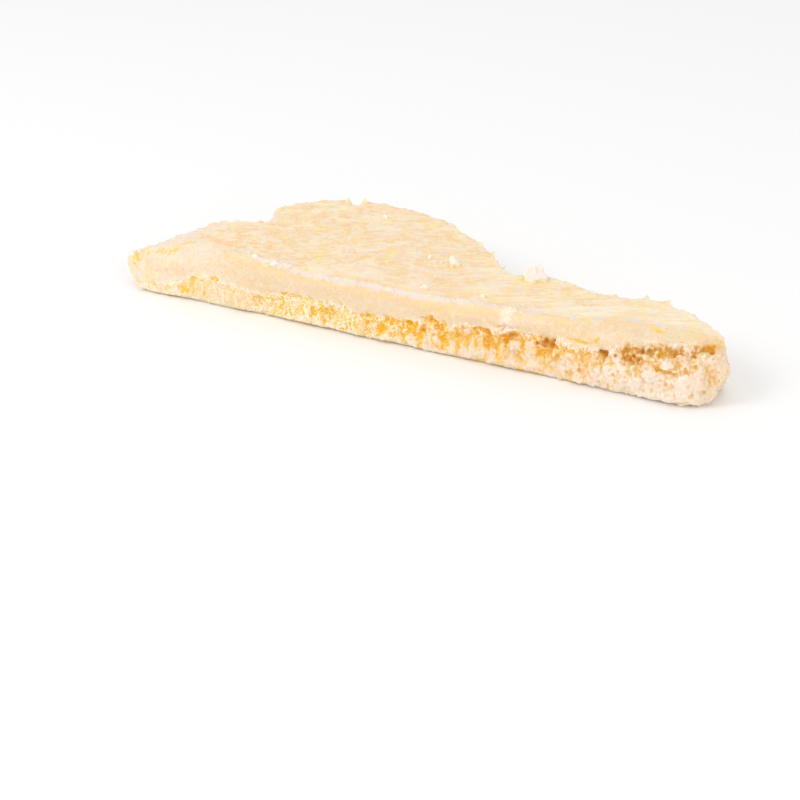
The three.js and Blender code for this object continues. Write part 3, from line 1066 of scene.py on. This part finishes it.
def foam_and_shade_colour(place, masks, noises):
    """Foam: white curd, then painted shade that deepens from cream to dark gold as its hollows deepen,
    duller at the right end.
    """
    warm = masks["warm"]
    right_end_shade = masks["right_end_shade"]
    low = masks["low"]
    clots = speckle(place, 520.0, 2.0)
    strands = speckle(drawn_out(place, (1.0, 1.0, 0.12)), 400.0, 2.0, 0.5)
    contrast = 1.9 - warm * 0.9 - right_end_shade * 0.45
    spots = (0.5 - noises["grains"]) * 2.0 + (0.5 - noises["fibres"]) * 1.4
    spots = spots + (0.5 - noises["sparkle"]) * 2.2 + (0.5 - clots) * 1.0
    # How deep the painted shade of the foam's hollows is: the painted golden shade, broken up by grains,
    # fibres, sparkle, clots and hanging strands
    hollow = masks["gold"] + (spots * (1.0 - low * 0.5) + (0.5 - strands) * low * 2.8) * contrast
    colours = {}
    for name, (left, middle, right) in FOAM_AND_SHADE_COLOURS.items():
        colours[name] = right_end_shade.blend(warm.blend(left, middle), right)
    return painted(colours["white"], colours, {
        "cream": hollow.band(-0.4, -0.02),
        "amber_shade": hollow.band(-0.04, 0.3),
        "honey_shade": hollow.band(0.28, 0.7) * (1.0 - low * 0.25),
    })


def loose_colour(colour, place, masks, noises):
    """Lays white specks, painted shade, chalk, painted shade along the rim, crumbs and the frosty crest over
    a colour.
    """
    grains = noises["grains"] - 0.5
    specks = (masks["fringe"] + (noises["sparkle"] - 0.5) * 3.0 + grains * 2.0).band(0.72, 1.1) * 0.85
    frost = masks["crest"] + (speckle(place, 900.0, 3.0) - 0.5) * 1.8
    colour = specks.blend(colour, LOOSE_COLOURS["specks"])
    colour = masks["shade"].blend(colour, LOOSE_COLOURS["shade"], "MULTIPLY")
    return painted(colour, LOOSE_COLOURS, {
        "chalk": (masks["chalk"] + grains * 1.6).band(0.3, 0.8) * 0.85,
        # Painted shade along the skin's rim
        "rim": masks["rim"] * 0.35,
        "crumbs": masks["curd"] * 0.9,
        "frost": frost.band(0.3, 1.0) * 0.75,
    })


def cream_finish():
    """Set cream: mottled skin, smooth dense cream, and white foam with painted golden shade in its hollows.
    """
    material, shader, start = new_material("set cream")
    place = start.node("ShaderNodeTexCoord", out="Object")
    # The Attribute node's output 2 is a single value
    masks = {name: start.node("ShaderNodeAttribute", {"attribute_name": name}, out=2) for name in MASK_NAMES}
    noises = {
        "grains": speckle(place, 1300.0, 3.0, 0.6),
        "fibres": speckle(drawn_out(place, (1.0, 1.0, 0.3)), 850.0, 3.0, 0.6),
        "sparkle": speckle(place, 2400.0, 1.0),
    }
    smooth = masks["skin"].blend(dense_colour(place, masks), skin_colour(place, masks))
    curdled = (masks["foam"] + (noises["fibres"] - 0.5) * 1.2).band(0.25, 0.8)
    colour = curdled.blend(smooth, foam_and_shade_colour(place, masks, noises))
    loose_colour(colour, place, masks, noises).feed(shader.inputs["Base Color"])
    relief = noises["grains"] * (0.6 + masks["foam"] * 0.8) + speckle(place, 2600.0, 2.0) * 0.3
    bump_inputs = {"Strength": BUMP_STRENGTH, "Distance": BUMP_HEIGHT * MM, "Height": relief}
    start.node("ShaderNodeBump", None, bump_inputs).feed(shader.inputs["Normal"])
    (0.5 + speckle(place, 300.0) * 0.2).feed(shader.inputs["Roughness"])
    for name, value in CREAM_SETTINGS.items():
        shader.inputs[name].default_value = value
    return material


# Studio

def pale_floor():
    """A wide plain floor that the slab lies on."""
    shape = bmesh.new()
    bmesh.ops.create_grid(shape, x_segments=1, y_segments=1, size=FLOOR_REACH)
    mesh = bpy.data.meshes.new("floor")
    shape.to_mesh(mesh)
    shape.free()
    floor = linked("floor", mesh)
    material, shader, _ = new_material("pale floor")
    shader.inputs["Base Color"].default_value = rgb(FLOOR_COLOUR)
    shader.inputs["Roughness"].default_value = FLOOR_ROUGHNESS
    floor.data.materials.append(material)


def aim(obj, azimuth, elevation, distance, at=(0, 0, 0)):
    """Stands a camera or light off from a place, in the given direction, and turns it to that place."""
    a = math.radians(azimuth)
    e = math.radians(elevation)
    back = Vector((math.sin(a) * math.cos(e), -math.cos(a) * math.cos(e), math.sin(e)))
    obj.location = Vector(at) + back * distance
    obj.rotation_euler = (-back).to_track_quat("-Z", "Y").to_euler()


def camera():
    """The photograph's camera."""
    data = bpy.data.cameras.new("camera")
    data.lens = LENS
    data.sensor_width = SENSOR_WIDTH
    data.clip_start = NEAREST_SEEN
    obj = linked("camera", data)
    aim(obj, VIEW_AZIMUTH, VIEW_ELEVATION, VIEW_DISTANCE, VIEW_AIM)
    bpy.context.scene.camera = obj


def softbox(name, azimuth, elevation, distance, size, power):
    """A square area light aimed at the slab."""
    data = bpy.data.lights.new(name, "AREA")
    data.energy = power
    data.size = size
    aim(linked(name, data), azimuth, elevation, distance)


def studio():
    """Soft studio light, camera and floor."""
    pale_floor()
    camera()
    for box in SOFTBOXES:
        softbox(*box)
    world = bpy.data.worlds.new("studio")
    world.use_nodes = True
    around = world.node_tree.nodes["Background"]
    around.inputs["Color"].default_value = rgb(AROUND_COLOUR)
    around.inputs["Strength"].default_value = AROUND_STRENGTH
    bpy.context.scene.world = world
    bpy.context.scene.view_settings.view_transform = "Standard"


def main():
    """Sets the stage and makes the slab."""
    studio()
    slab = slab_piece()
    slab.data.materials.clear()
    slab.data.materials.append(cream_finish())
    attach(slab, BODY)
    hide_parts(SLAB_NODE)
    bpy.context.view_layer.update()


main()
